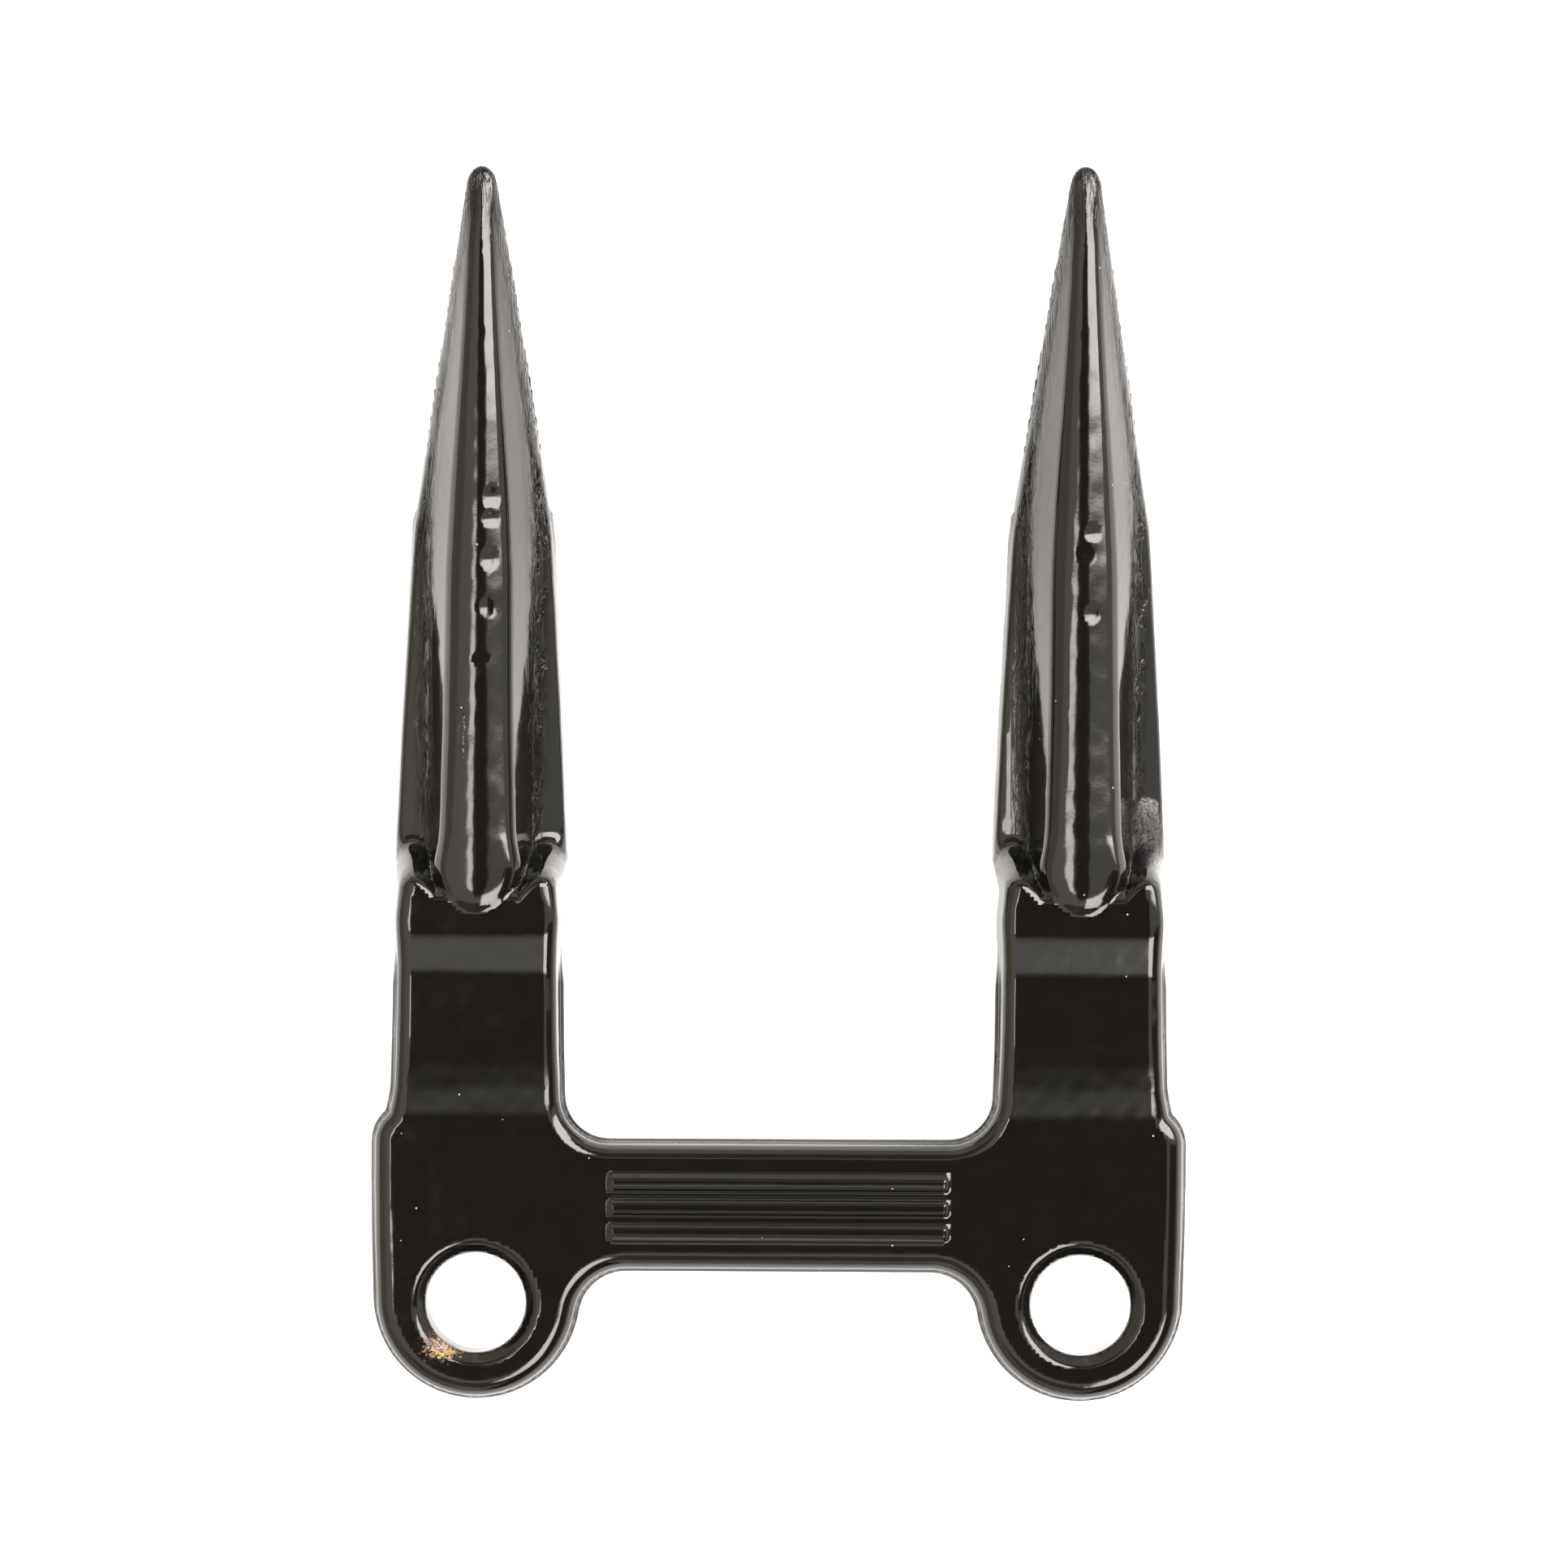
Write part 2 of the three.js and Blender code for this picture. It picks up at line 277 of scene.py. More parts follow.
def arc_points(x, y, r, start, end, steps=14):
    return [(x + r * math.cos(a), y + r * math.sin(a)) for a in np.linspace(start, end, steps)]


def half_outline():
    """The right half of the guard in plan, from the middle of the rear edge to that of the front edge."""
    rear_fillet, front_fillet = 6.0, 5.6
    rear_y, front_y = -BRIDGE_W / 2, BRIDGE_W / 2
    fillet_y = rear_y - rear_fillet
    fillet_x = AXIS_X - math.sqrt((LUG_R + rear_fillet) ** 2 - (LUG_Y - fillet_y) ** 2)
    touch = math.atan2(LUG_Y - fillet_y, AXIS_X - fillet_x)
    shoulder_x, inner_x = HALF_WIDTH, AXIS_X - float(side_half(14))
    shoulder_r, shoulder_y = 5, 8
    points = [(0, rear_y)]
    points += arc_points(fillet_x, fillet_y, rear_fillet, math.pi / 2, touch)
    points += arc_points(AXIS_X, LUG_Y, LUG_R, touch + math.pi, 2 * math.pi, 40)
    points += [(shoulder_x - 0.1, -4), (shoulder_x, 3)]
    points += arc_points(shoulder_x - shoulder_r, shoulder_y, shoulder_r, 0, math.radians(50), 8)
    points += [(AXIS_X + 11.3, 13.4)]
    ys = np.concatenate([np.linspace(15, 88, 38), np.linspace(90, TIP_Y - TIP_R, 16)])
    tip = TIP_Y - TIP_R + TIP_R * np.sin(np.linspace(0.12, math.pi / 2, 9))
    ys = np.concatenate([ys, tip])
    halves = finger_half(ys)
    points += [(AXIS_X + h, y) for h, y in zip(halves, ys)]
    points += [(AXIS_X - h, y) for h, y in zip(halves[::-1][1:], ys[::-1][1:])]
    points += arc_points(inner_x - front_fillet, front_y + front_fillet, front_fillet, 0, -math.pi / 2)
    points += [(0, front_y)]
    return points


OUTLINE = half_outline()


# ---- The lower forging

CREST_SLOPE = 0.2  # the crown's two facets fall away from the crest at this slope
END_Y = 43.6  # the keel's round end starts here
END_STRETCH = 0.8  # plan half width over length of the round end
DOME_DROP = 0.75  # the crown falls this much on its way to the rim of the round end
DOME_REACH = 2.8  # and starts to fall at this distance inside the rim
DOME_FADE = ([41, 46], [1, 0])  # y, share of that fall: only the round end has it
CROWN_ROUNDING = ([40, 47, 88, 100, 125], [1.0, 1.8, 1.6, 1.2, 0.9])  # y, radius between wall and crown
CREST_ROUNDING = ([50, 90], [0.5, 0.3])  # y, how far the round crest lies under the facets' meeting line
LOBE_MID = 8.4  # the step's face bulges forwards here, halfway across the flange
LOBE_HALF = 2.6  # at this distance from there
LOBE_SWEEP = 1.5  # it lies this much further back
LOBE_MOST = 1.4  # and nowhere more than this many times as far

# Dents in the crown: finger, offset from the crest, y, half length, depth
DENTS = [(-1, 1.7, 89.2, 1.6, 0.16), (-1, 1.5, 86.5, 1.3, 0.12),
         (-1, 1.4, 81.4, 1.8, 0.16), (-1, 1.1, 75.4, 1.7, 0.12),
         (1, 0.9, 85.0, 1.3, 0.1), (1, 0.2, 82.4, 1.6, 0.08),
         (1, 0.9, 74.9, 1.5, 0.1), (-1, 0.3, 68.9, 0.9, 0.06)]
DENT_HALF_WIDTH = 1.4


def dents(x, u, y):
    """Depth of the small dents beside the crests."""
    depth = 0.0
    for finger, du, dy, half_length, deepest in DENTS:
        side = u * np.sign(x) - du
        hill = bump(np.hypot(side / DENT_HALF_WIDTH, (y - dy) / half_length))
        depth = depth + deepest * hill * (x * finger > 0)
    return depth


def keel(x, u, y, z):
    """The ridge along a finger: walls that rise to a two-faced crown, with a round end on the shank."""
    base = np.where(y > 60, np.maximum(top_line(y), FLANGE_Z), FLANGE_Z)
    crest, lean = height(crest_line, y)
    foot, top = foot_half(y), crown_half(y)
    wall_slope = np.clip((foot - top) / np.maximum(crest - 0.5 - base, 0.5), 0.1, 0.7)
    end = np.maximum(END_Y - y, 0) * END_STRETCH
    width = foot - wall_slope * (z - base)
    wall = (np.hypot(u, end) - width) / np.sqrt(1 + wall_slope**2)
    blend = np.interp(y, *CREST_ROUNDING)
    fall = np.sqrt(blend**2 + (CREST_SLOPE * u) ** 2) - blend
    inside = foot - wall_slope * (crest - base) - np.hypot(u, end)
    dome = DOME_DROP * np.clip(1 - inside / DOME_REACH, 0, 1) ** 3 * np.interp(y, *DOME_FADE)
    crown = (z - crest + fall + dome + dents(x, u, y)) * lean / math.hypot(1, CREST_SLOPE / 2)
    return meet(wall, crown, np.interp(y, *CROWN_ROUNDING))


RELIEF_COUNT = 3
RELIEF_PITCH = 3.1  # from one rib to the next
RELIEF_HALF = (20.8, 0.4)  # half length and half width of a rib's flat top
RELIEF_RISE = 0.6
RELIEF_WALL = 0.9  # width of its sloping sides in plan


def smooth_step(t):
    """An S-curve from 0 at t = 0 to 1 at t = 1."""
    t = np.clip(t, 0, 1)
    return t * t * (3 - 2 * t)


def relief(side, y):
    """Rise of the round-edged ribs that run along the bridge."""
    reach = (RELIEF_COUNT - 1) / 2
    place = np.clip(np.round(y / RELIEF_PITCH), -reach, reach)
    length, width = RELIEF_HALF
    past_end = np.maximum(side - length, 0)
    past_side = np.maximum(np.abs(y - place * RELIEF_PITCH) - width, 0)
    return RELIEF_RISE * smooth_step(1 - np.hypot(past_end, past_side) / RELIEF_WALL)


def slab(side, y, z, plan):
    """Plate, shanks and ledger flanges: the plan outline between the top and far side lines, with draft."""
    draft = draft_line(y)
    inset = FLASH * np.interp(y, [30, 36], [1, 0])
    face = (plan + inset + draft * np.abs(z - parting_line(y))) / np.sqrt(1 + draft**2)
    across = np.abs(side - AXIS_X)
    off_lobe = np.minimum(((across - LOBE_MID) / LOBE_HALF) ** 2, LOBE_MOST)
    sweep = LOBE_SWEEP * off_lobe * (y > 37) * (y < 60)
    top, top_lean = height(top_line, y + sweep)
    tilt = FLANGE_TILT * np.maximum(across - 6, 0) * np.interp(y, [43, 47, 86, 94], [0, 1, 1, 0])
    body = meet(face, (z - top + tilt - relief(side, y)) * top_lean, edge_radius(y))
    flash = meet(plan + FLASH * np.interp(y, [28, 34], [0, 2]), np.abs(z - parting_line(y)) - 0.6, 0.3)
    return join(body, flash, 0.5)


def hole(u, y, z):
    """Bolt hole with a chamfer on the visible face."""
    radius = np.hypot(u, y - HOLE_Y)
    bore = radius - HOLE_R
    chamfer = (radius - HOLE_R - CHAMFER + (PLATE_T - z)) / math.sqrt(2)
    return np.minimum(bore, chamfer)


NOSE_CUT = 0.3  # the left nose is this much shorter than the right one
NOSE_CUT_Y, NOSE_CUT_LENGTH = 105, 25  # taken up gradually from this y on
KEEL_FILLET = ([41, 50, 88, 100], [0.5, 1.2, 1.2, 2.0])  # y, fillet radius between slab and keel
NOSE_ROUNDING = ([88, 96, 120, 130], [0.01, 0.8, 0.8, 0.4])  # y, radius at the nose's widest line
FAR_ROUNDING = ([38, 46, 93, 97], [1.0, 0.35, 0.35, 1.0])  # y, radius round the far side
SKIN_WAVES = ((0.006, 9, 3), (0.005, 3.2, 5))  # height, wavelength and seed of the forging's waviness


def forging(x, y, z):
    """The whole lower forging: slab and keels, trimmed to the plan at the noses, with far side and holes."""
    side = np.abs(x)
    u = side - AXIS_X
    y = y + NOSE_CUT * np.clip((y - NOSE_CUT_Y) / NOSE_CUT_LENGTH, 0, 1) * (x < 0)
    plan = outline_distance(side, y, OUTLINE)
    ridge = keel(x, u, y, z)
    ridge = np.where(y > 95, meet(ridge, plan + 0.1 * (z - seat_z(y)), 0.8), ridge)
    body = join(slab(side, y, z, plan), ridge, np.interp(y, *KEEL_FILLET))
    rounding = np.interp(y, *NOSE_ROUNDING)
    body = np.where(y > 88, meet(body, plan + 0.08 * np.abs(z - seat_z(y)), rounding), body)
    far, far_lean = height(far_line, y)
    body = meet(body, (far - z) * far_lean, np.interp(y, *FAR_ROUNDING))
    body = cut(body, hole(u, y, z), 0.3)
    for rise, wavelength, seed in SKIN_WAVES:
        body = body + rise * ripple(x, y, z, wavelength, seed)
    return body


VALLEY_REACH = 1.6
VALLEY_FULL = 1.15  # over 1, so that a narrow band along the foot has the full value


def valley(x, y, z):
    """1 along the foot of the keel, where the forging's skin is wrinkled, fading to 0 away from it."""
    side = np.abs(x)
    plan = outline_distance(side, y, OUTLINE)
    gap = np.maximum(slab(side, y, z, plan) / 2, keel(x, side - AXIS_X, y, z))
    near_foot = np.clip(VALLEY_FULL - gap / VALLEY_REACH, 0, 1)
    return near_foot * np.clip((y - 42) / 3, 0, 1)


def make_forging():
    margin = 1.5
    low = [-HALF_WIDTH - margin, body_low[1] - margin, LEDGER_Z - margin]
    high = [HALF_WIDTH + margin, TIP_Y + margin, crest_line(44) + margin]
    return field_mesh("forging", forging, low, high, STEP, {"valley": valley})


# ---- Lips and weld beads

lip_half = profile([(LIP_BACK_Y, 5.6), (60, 6.6), (85, 7.0), (SLOT_FRONT_Y, 7.0)], 4)
lip_inner = profile([(LIP_BACK_Y, LEDGER_Z - SLOT_H), (95.8, LEDGER_Z - SLOT_H),
                     (SLOT_FRONT_Y + 0.5, LEDGER_Z), (LIP_FRONT_Y + 5, LEDGER_Z)], 1.0)
lip_outer = profile([(LIP_BACK_Y, LIP_OUTER_Z + 1.4), (58, LIP_OUTER_Z), (85, LIP_OUTER_Z),
                     (95, LIP_OUTER_Z + 1.7), (105, -9), (115, -3.2), (LIP_FRONT_Y, 1.6),
                     (LIP_FRONT_Y + 3, 3.0)], 5)


def lip(x, y, z):
    """An upper lip: a bar with a slot over the ledger, that meets the nose in front of it."""
    u = np.abs(x)
    half = np.where(y < SLOT_FRONT_Y, lip_half(y), np.minimum(lip_half(y), finger_half(y)))
    inner, inner_lean = height(lambda t: lip_inner(t) + seat_z(t) - LEDGER_Z - SEAM_GAP, y)
    outer, outer_lean = height(lip_outer, y)
    side = (u - half + 0.12 * (inner - z)) / 1.01
    thick = np.clip(inner - outer, 0.6, 6)
    body = meet(side, (outer - z) * outer_lean, np.minimum(3.0, thick * 0.7))
    body = meet(body, (z - inner) * inner_lean, np.where(y > 95, np.minimum(1.0, thick * 0.4), 0.5))
    body = meet(body, LIP_BACK_Y - y, 1.0)
    return meet(body, y - LIP_FRONT_Y, 0.3)


def make_lip(side, x):
    return field_mesh(f"upper_lip_{side}", lambda px, y, z: lip(px - x, y, z),
                      [x - 8, LIP_BACK_Y - 1, LIP_OUTER_Z - 1], [x + 8, LIP_FRONT_Y + 1, 4], STEP)


BEAD_R = 0.75
BEAD_INSET = 0.75  # the bead's middle lies this far inside the nose's outline
BEAD_SLIM = 0.1  # taken off its radius
BEAD_ENDS = (95, 120)
BEAD_STEP = 1.7  # from one solidified ripple of the bead to the next
BEAD_SWELL = 0.16
BEAD_UNEVEN = 0.07


def bead(u, y, z):
    """A weld bead along the seam between nose and lip, on the side where u is positive."""
    back, front = BEAD_ENDS
    out = u - finger_half(y) + BEAD_INSET
    down = z - seat_z(y) + SEAM_GAP / 2
    stage = (y + 0.5 * np.hypot(out, down)) / BEAD_STEP
    swell = BEAD_SWELL * (stage - np.floor(stage)) + BEAD_UNEVEN * ripple(u, y, z, 5, 11)
    past = np.maximum(np.maximum(back + 1 - y, y - front + 1), 0)
    return np.hypot(np.hypot(out, down), past) - BEAD_R - swell + BEAD_SLIM


def make_bead(side, x, edge, turn):
    back, front = BEAD_ENDS
    low_x, high_x = sorted((x + turn * 1.5, x + turn * 9.5))
    low = [low_x, back - 1.5, seat_z(back) - 2]
    high = [high_x, front + 1.5, seat_z(front) + 2]
    return field_mesh(f"weld_bead_{side}_{edge}", lambda px, y, z: bead((px - x) * turn, y, z),
                      low, high, STEP / 2)


# ---- Materials

class Nodes:
    """Short calls for building a node tree."""

    def __init__(self, tree):
        self.tree = tree
        self.tree.nodes.clear()

    def add(self, kind, inputs=None, **settings):
        node = self.tree.nodes.new(kind)
        for key, value in settings.items():
            setattr(node, key, value)
        for key, value in (inputs or {}).items():
            if isinstance(value, bpy.types.NodeSocket):
                self.tree.links.new(value, node.inputs[key])
            else:
                node.inputs[key].default_value = value
        return node

    def math(self, operation, a, b=0.0, clamp=False):
        node = self.add("ShaderNodeMath", operation=operation, use_clamp=clamp)
        for socket, value in zip(node.inputs, (a, b)):
            if isinstance(value, bpy.types.NodeSocket):
                self.tree.links.new(value, socket)
            else:
                socket.default_value = value
        return node.outputs[0]

    def ramp(self, value, low, high):
        """A smooth step from 0 at low to 1 at high, and falling where high is the smaller one."""
        node = self.add("ShaderNodeMapRange", {"Value": value, "From Min": low, "From Max": high},
                        interpolation_type="SMOOTHSTEP")
        return node.outputs["Result"]

    def noise(self, vector, scale, detail=2.0, roughness=0.5, distortion=0.0):
        inputs = {"Vector": vector, "Scale": scale, "Detail": detail, "Roughness": roughness}
        return self.add("ShaderNodeTexNoise", {**inputs, "Distortion": distortion}).outputs["Fac"]

    def stretched(self, vector, factors):
        return self.add("ShaderNodeVectorMath", {0: vector, 1: factors}, operation="MULTIPLY").outputs[0]

    def near(self, vector, centre, reach, factors=(1, 1, 1)):
        """1 at centre, falling to 0 at reach from it, with distances scaled by factors."""
        offset = self.add("ShaderNodeVectorMath", {0: vector, 1: centre}, operation="SUBTRACT").outputs[0]
        away = self.add("ShaderNodeVectorMath", {0: self.stretched(offset, factors)}, operation="LENGTH")
        return self.math("SUBTRACT", 1.0, self.math("DIVIDE", away.outputs["Value"], reach), clamp=True)

    def mix(self, share, a, b):
        return self.add("ShaderNodeMix", {0: share, 6: a, 7: b}, data_type="RGBA").outputs[2]


BLACK = (0.0035, 0.0035, 0.0031, 1)
BROWN_BLACK = (0.009, 0.0065, 0.005, 1)
DUST = (0.3, 0.29, 0.27, 1)
BARE_STEEL = (0.55, 0.4, 0.33, 1)
BRASSY_OXIDE = (0.45, 0.29, 0.07, 1)
SCALE_BROWN = (0.06, 0.04, 0.03, 1)
CHIP_AT = (-AXIS_X - 3.9, HOLE_Y - 5.6, PLATE_T - 0.6)
CHIP_REACH = 4.2
LONG_RUN_AT, LONG_RUN_REACH = (-AXIS_X - 1.95, 59.3, 9.2), 3.1
SHORT_RUN_AT, SHORT_RUN_REACH = (-AXIS_X - 3.0, 49.6, 9.3), 1.4
SPATTER_AT, SPATTER_REACH = (AXIS_X + 8.6, 46.5, 2), 5.5
RUN_RISE, SPATTER_RISE, CHIP_DEPTH = 0.06, 0.5, 0.14  # in millimetres


def dust_specks(n, place):
    """Sparse grains of dust caught in the paint."""
    cells = n.add("ShaderNodeTexVoronoi", {"Vector": place, "Scale": 0.55, "Randomness": 1.0})
    chance = n.add("ShaderNodeSeparateColor", {"Color": cells.outputs["Color"]}).outputs[0]
    grain = n.ramp(cells.outputs["Distance"], 0.075, 0.045)
    return n.math("MULTIPLY", grain, n.math("GREATER_THAN", chance, 0.86))


def chipped_rim(n, place):
    """Paint knocked off the left hole's rim: a ragged patch with crumbs round it."""
    at_rim = n.near(place, CHIP_AT, CHIP_REACH, (0.8, 1.25, 1))
    crumbs = n.noise(place, 2.2, 6, 0.9)
    return n.ramp(n.math("ADD", at_rim, n.math("MULTIPLY", crumbs, 2.4)), 1.78, 1.84)


def paint_runs(n, place):
    """Two thin runs of paint that dried on the left keel's outer face."""
    wander = n.math("MULTIPLY", n.math("SUBTRACT", n.noise(place, 0.9, 3), 0.5), 0.9)
    shift = n.add("ShaderNodeCombineXYZ", {"X": wander}).outputs[0]
    wandering = n.add("ShaderNodeVectorMath", {0: place, 1: shift}, operation="ADD").outputs[0]
    long_run = n.near(wandering, LONG_RUN_AT, LONG_RUN_REACH, (8, 1, 1))
    short_run = n.near(wandering, SHORT_RUN_AT, SHORT_RUN_REACH, (6, 1, 1))
    fainter = n.math("MULTIPLY", n.ramp(short_run, 0.0, 0.5), 0.5)
    return n.math("ADD", n.ramp(long_run, 0.0, 0.35), fainter)


def spatter(n, place):
    """Lumps of scale under the paint at the back of the right finger's outer flange."""
    spread = n.near(place, SPATTER_AT, SPATTER_REACH, (1.5, 0.8, 0.6))
    return n.math("MULTIPLY", n.ramp(spread, 0.1, 0.6), n.noise(place, 1.4, 4, 0.6))


def paint(name, roughness, peel, wrinkle=0.0, marked=False):
    """Gloss black paint. peel and wrinkle are the heights in millimetres of its orange peel and wrinkles.

    Wrinkles need the mesh's valley values and get painted shade in their creases, and marked adds the runs,
    the lumps and the chipped spot.
    """
    material = bpy.data.materials.new(name)
    material.use_nodes = True
    n = Nodes(material.node_tree)
    place = n.stretched(n.add("ShaderNodeTexCoord").outputs["Object"], (1 / MM,) * 3)
    relief_height = n.math("MULTIPLY", n.noise(place, 0.5, 3), peel)
    fine = n.math("MULTIPLY", n.noise(place, 3.5, 2), peel * 0.12)
    relief_height = n.math("ADD", relief_height, fine)
    worn = n.ramp(n.add("ShaderNodeNewGeometry").outputs["Pointiness"], 0.53, 0.6)
    patchy = n.noise(place, 0.25, 4, 0.6)
    color = n.mix(n.math("MULTIPLY", n.math("ADD", worn, 0.35), patchy), BLACK, BROWN_BLACK)
    dust = dust_specks(n, place)
    color = n.mix(dust, color, DUST)
    gloss = n.math("ADD", n.math("MULTIPLY", patchy, roughness), roughness * 0.5)
    gloss = n.math("ADD", gloss, n.math("MULTIPLY", dust, 0.4))
    metal, shine_and_crease_shade = 0.0, 0.5
    if wrinkle:
        valley_share = n.add("ShaderNodeAttribute", attribute_name="valley").outputs["Fac"]
        grain = n.noise(n.stretched(place, (1, 0.16, 0.6)), 1.1, 3, 0.6, 0.8)
        crease = n.ramp(n.math("ABSOLUTE", n.math("SUBTRACT", grain, 0.5)), 0.09, 0.0)
        crease = n.math("MULTIPLY", crease, valley_share)
        # Painted shade: the specular level is lowered along the creases, so they reflect less, as if shaded.
        shine_and_crease_shade = n.math("SUBTRACT", 0.5, n.math("MULTIPLY", crease, 0.42))
        folds = n.math("SUBTRACT", n.math("MULTIPLY", grain, 2.5), crease)
        height_mm = n.math("MULTIPLY", n.math("MULTIPLY", folds, valley_share), wrinkle)
        relief_height = n.math("ADD", relief_height, height_mm)
    if marked:
        relief_height = n.math("ADD", relief_height, n.math("MULTIPLY", paint_runs(n, place), RUN_RISE))
        relief_height = n.math("ADD", relief_height, n.math("MULTIPLY", spatter(n, place), SPATTER_RISE))
        chip = chipped_rim(n, place)
        oxide = n.ramp(n.noise(place, 1.1, 4, 0.7), 0.55, 0.62)
        steel = n.mix(n.ramp(n.noise(place, 4.5, 3, 0.7), 0.42, 0.6), SCALE_BROWN, BARE_STEEL)
        color = n.mix(chip, color, n.mix(oxide, steel, BRASSY_OXIDE))
        gloss = n.math("ADD", gloss, n.math("MULTIPLY", chip, 0.4))
        grit = n.math("MULTIPLY", n.noise(place, 5, 4, 0.7), 0.12)
        pit = n.math("MULTIPLY", chip, n.math("SUBTRACT", grit, CHIP_DEPTH))
        relief_height = n.math("ADD", relief_height, pit)
        metal = n.math("MULTIPLY", chip, 0.6)
    bumps = n.add("ShaderNodeBump", {"Strength": 1.0, "Distance": MM, "Height": relief_height})
    normal = bumps.outputs[0]
    shader = n.add("ShaderNodeBsdfPrincipled", {"Base Color": color, "Roughness": gloss, "Metallic": metal,
                                                "Specular IOR Level": shine_and_crease_shade, "Normal": normal})
    n.add("ShaderNodeOutputMaterial", {"Surface": shader.outputs[0]})
    return material


# ---- Stage

FLOOR_GLOW = 0.75
OVERHEAD_DARK = ((-0.13, 0.15), (-2, 0.4))  # the dark patch over the guard
STRIP = ((-0.225, -0.13), (-0.09, 0.105))  # the bright line beside each crest
AHEAD_LIGHT = ((0.16, 2.2), (0.13, 0.6))
SIDE_LIGHT = ((0.12, 0.7), (-0.9, -0.2))
STRIP_POWER, AHEAD_POWER, SIDE_POWER = 10, 14, 12


def make_floor():
    bpy.ops.mesh.primitive_plane_add(size=6, location=(0, 0, FLOOR_Z * MM))
    floor = bpy.context.object
    floor.name = "floor"
    material = bpy.data.materials.new("pale_floor")
    material.use_nodes = True
    n = Nodes(material.node_tree)
    shader = n.add("ShaderNodeBsdfPrincipled", {"Base Color": (0.6, 0.6, 0.6, 1), "Roughness": 0.8,
                                                "Emission Color": (1, 1, 1, 1),
                                                "Emission Strength": FLOOR_GLOW})
    n.add("ShaderNodeOutputMaterial", {"Surface": shader.outputs[0]})
    floor.data.materials.append(material)


def patch(n, over, x_range, y_range, soft):
    """1 inside a patch of sky, given by the slopes of its directions from straight up."""
    ramps = []
    for value, (low, high) in zip(over, (x_range, y_range)):
        ramps.append(n.ramp(value, low - soft, low + soft))
        ramps.append(n.ramp(value, high + soft, high - soft))
    return n.math("MULTIPLY", n.math("MULTIPLY", *ramps[:2]), n.math("MULTIPLY", *ramps[2:]))


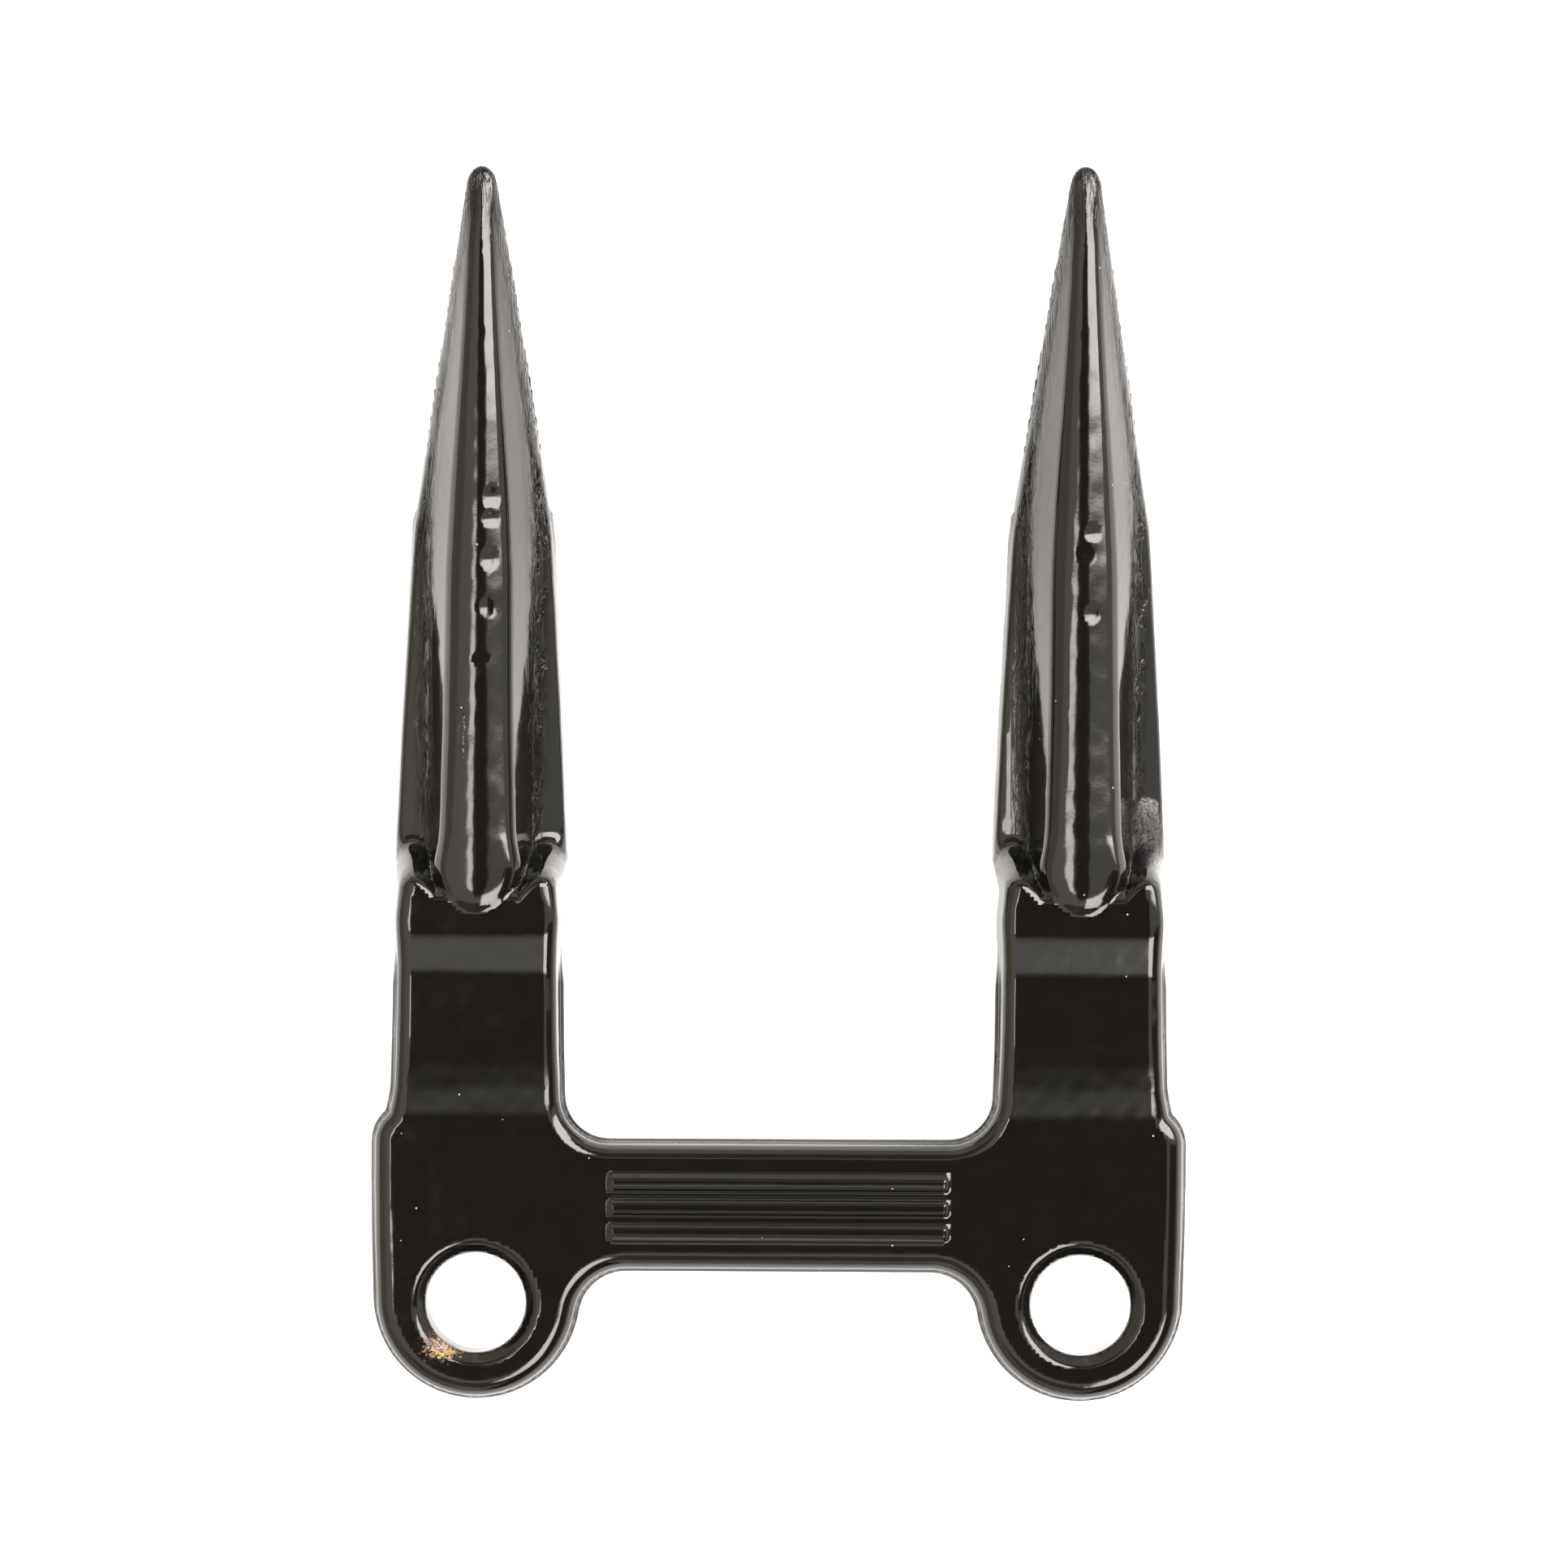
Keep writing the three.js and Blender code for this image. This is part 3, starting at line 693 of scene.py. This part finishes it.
def make_light_tent():
    """Soft studio all round: a pale tent, black over the guard, with one bright strip and two soft lights."""
    world = bpy.data.worlds.new("studio")
    bpy.context.scene.world = world
    world.use_nodes = True
    n = Nodes(world.node_tree)
    direction = n.add("ShaderNodeTexCoord").outputs["Generated"]
    axes = n.add("ShaderNodeSeparateXYZ", {"Vector": direction}).outputs
    over = [n.math("DIVIDE", axes[i], n.math("MAXIMUM", axes[2], 0.02)) for i in (0, 1)]
    black = n.math("MULTIPLY", patch(n, over, *OVERHEAD_DARK, 0.012), n.ramp(over[1], -0.4, -0.12))
    dark_front = n.math("MULTIPLY", patch(n, over, (-1, 1), (0.55, 1.6), 0.08), 0.8)
    dark_side = n.math("MULTIPLY", n.ramp(over[0], 0.45, 0.6), n.ramp(over[1], -0.03, -0.06))
    dark_side = n.math("MULTIPLY", dark_side, n.ramp(over[0], 8, 2))
    shade = n.math("MULTIPLY", n.math("SUBTRACT", 1.0, black), n.math("SUBTRACT", 1.0, dark_side))
    dark_back = n.math("MULTIPLY", patch(n, over, (-1, 1), (-1.8, -0.6), 0.08), 0.7)
    shade = n.math("MULTIPLY", shade, n.math("SUBTRACT", 1.0, n.math("MAXIMUM", dark_front, dark_back)))
    dark_left = n.math("MULTIPLY", n.ramp(over[0], -0.7, -1.6), 0.4)
    shade = n.math("MULTIPLY", shade, n.math("SUBTRACT", 1.0, dark_left))
    behind = n.math("MULTIPLY", n.ramp(over[1], -0.1, -0.2), n.ramp(over[1], -0.6, -0.5))
    paler = n.math("MAXIMUM", n.ramp(over[0], -0.05, -0.2), behind)
    level = n.math("ADD", 1.0, n.math("MULTIPLY", paler, 0.45))
    tint = n.mix(n.ramp(over[0], -0.32, -0.14), (1, 0.93, 0.75, 1), (1, 0.98, 0.94, 1))
    strip = patch(n, over, *STRIP, 0.006)
    ahead = patch(n, (over[0], axes[1]), *AHEAD_LIGHT, 0.04)
    beside = patch(n, over, *SIDE_LIGHT, 0.04)
    lights = [(tint, n.math("MULTIPLY", shade, level)),
              ((1, 0.95, 0.93, 1), n.math("MULTIPLY", strip, STRIP_POWER)),
              ((1, 0.94, 0.91, 1), n.math("MULTIPLY", ahead, AHEAD_POWER)),
              ((1, 0.94, 0.91, 1), n.math("MULTIPLY", beside, SIDE_POWER))]
    shaders = [n.add("ShaderNodeBackground", {"Color": color, "Strength": power}).outputs[0]
               for color, power in lights]
    studio = shaders[0]
    for shader in shaders[1:]:
        studio = n.add("ShaderNodeAddShader", {0: studio, 1: shader}).outputs[0]
    seen = n.add("ShaderNodeLightPath").outputs["Is Camera Ray"]
    backdrop = n.add("ShaderNodeBackground", {"Color": (0.95, 0.95, 0.95, 1), "Strength": 1.0})
    mixed = n.add("ShaderNodeMixShader", {0: seen, 1: studio, 2: backdrop.outputs[0]})
    n.add("ShaderNodeOutputWorld", {"Surface": mixed.outputs[0]})


CAMERA_HEIGHT = 746  # above the plate's face
CAMERA_LENS = 136.2


def make_camera():
    data = bpy.data.cameras.new("camera")
    camera = bpy.data.objects.new("camera", data)
    bpy.context.scene.collection.objects.link(camera)
    data.sensor_width = 36
    data.lens = CAMERA_LENS
    data.clip_start, data.clip_end = 0.01, 20
    camera.location = (0.42 * MM, 53.3 * MM, (PLATE_T + CAMERA_HEIGHT) * MM)
    camera.rotation_euler = (0, 0, math.radians(0.3))
    bpy.context.scene.camera = camera


# ---- Assembly

# Mesh step in millimetres
STEP = 0.5

make_camera()
make_floor()
make_light_tent()
bpy.context.scene.view_settings.view_transform = "Standard"

forging_paint = paint("forging_paint", 0.08, 0.01, wrinkle=0.06, marked=True)
lip_paint = paint("lip_paint", 0.1, 0.02)
weld_paint = paint("weld_paint", 0.14, 0.03)


def finish_piece(piece, material, slot, *nodes):
    piece.data.materials.append(material)
    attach(piece, "root")
    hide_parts(*nodes)


finish_piece(make_forging(), forging_paint, "forging_paint", "guard_body")
for side, x in (("left", -AXIS_X), ("right", AXIS_X)):
    finish_piece(make_lip(side, x), lip_paint, "lip_paint", f"lip_{side}")
    for edge in ("inner", "outer"):
        turn = math.copysign(1, x) * (1 if edge == "outer" else -1)
        finish_piece(make_bead(side, x, edge, turn), weld_paint, "weld_paint", f"weld_{side}_{edge}")
